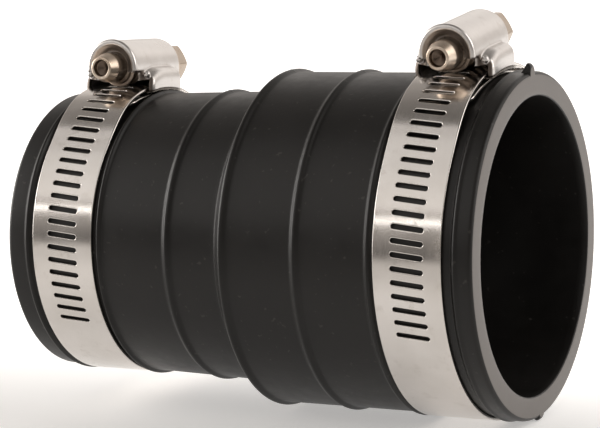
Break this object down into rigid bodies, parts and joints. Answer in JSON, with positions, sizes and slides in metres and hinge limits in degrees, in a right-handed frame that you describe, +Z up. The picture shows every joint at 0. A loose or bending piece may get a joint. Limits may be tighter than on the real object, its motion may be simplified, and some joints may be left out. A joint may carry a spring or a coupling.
{
  "type": "flexible reducing pipe coupling",
  "caption": "Rubber sleeve that joins two plain pipe ends of unequal size, with a socket at each end gripped by a worm-drive steel band clamp.",
  "frame": {"origin": "centre of the large socket's mouth, on the sleeve's axis", "axes": "+X along the sleeve's axis, out of the large mouth; +Z up, towards the clamps' screw housings; -Y is the side where the slotted bands are fed into their housings"},
  "size_m": [0.1065, 0.0706, 0.0829],
  "materials": {
    "sleeve_rubber": "satin moulded",
    "band_steel": "rolled satin",
    "housing_steel": "pressed and tumbled",
    "screw_steel": "cold headed"
  },
  "bodies": {
    "sleeve": {"sleeve": "sleeve_rubber"},
    "large_clamp": {"large_housing": "housing_steel", "large_saddle": "band_steel"},
    "large_strap": {"large_band": "band_steel"},
    "large_worm": {"large_screw": "screw_steel"},
    "small_clamp": {"small_housing": "housing_steel", "small_saddle": "band_steel"},
    "small_strap": {"small_band": "band_steel"},
    "small_worm": {"small_screw": "screw_steel"}
  },
  "joints": [
    {"name": "large_clamp_turn", "type": "hinge", "parent": "sleeve", "child": "large_clamp", "pos_m": [-0.0132, 0, 0], "axis": [1, 0, 0], "continuous": true},
    {"name": "large_screw_turn", "type": "hinge", "parent": "large_clamp", "child": "large_worm", "pos_m": [-0.0132, -0.00354, 0.0405], "axis": [0, -0.9962, -0.0872], "range_deg": [-720, 720]},
    {"name": "large_band_feed", "type": "hinge", "parent": "large_clamp", "child": "large_strap", "pos_m": [-0.0132, 0, 0], "axis": [-1, 0, 0], "range_deg": [-8.8, 8.8]},
    {"name": "small_clamp_turn", "type": "hinge", "parent": "sleeve", "child": "small_clamp", "pos_m": [-0.0929, 0, 0], "axis": [1, 0, 0], "continuous": true},
    {"name": "small_screw_turn", "type": "hinge", "parent": "small_clamp", "child": "small_worm", "pos_m": [-0.0929, 0.00249, 0.03556], "axis": [0, -0.9976, 0.0698], "range_deg": [-720, 720]},
    {"name": "small_band_feed", "type": "hinge", "parent": "small_clamp", "child": "small_strap", "pos_m": [-0.0929, 0, 0], "axis": [-1, 0, 0], "range_deg": [-10.2, 10.2]}
  ],
  "couplings": [
    {"joint": "large_band_feed", "follows": "large_screw_turn", "ratio": 0.012201},
    {"joint": "small_band_feed", "follows": "small_screw_turn", "ratio": 0.014136}
  ]
}
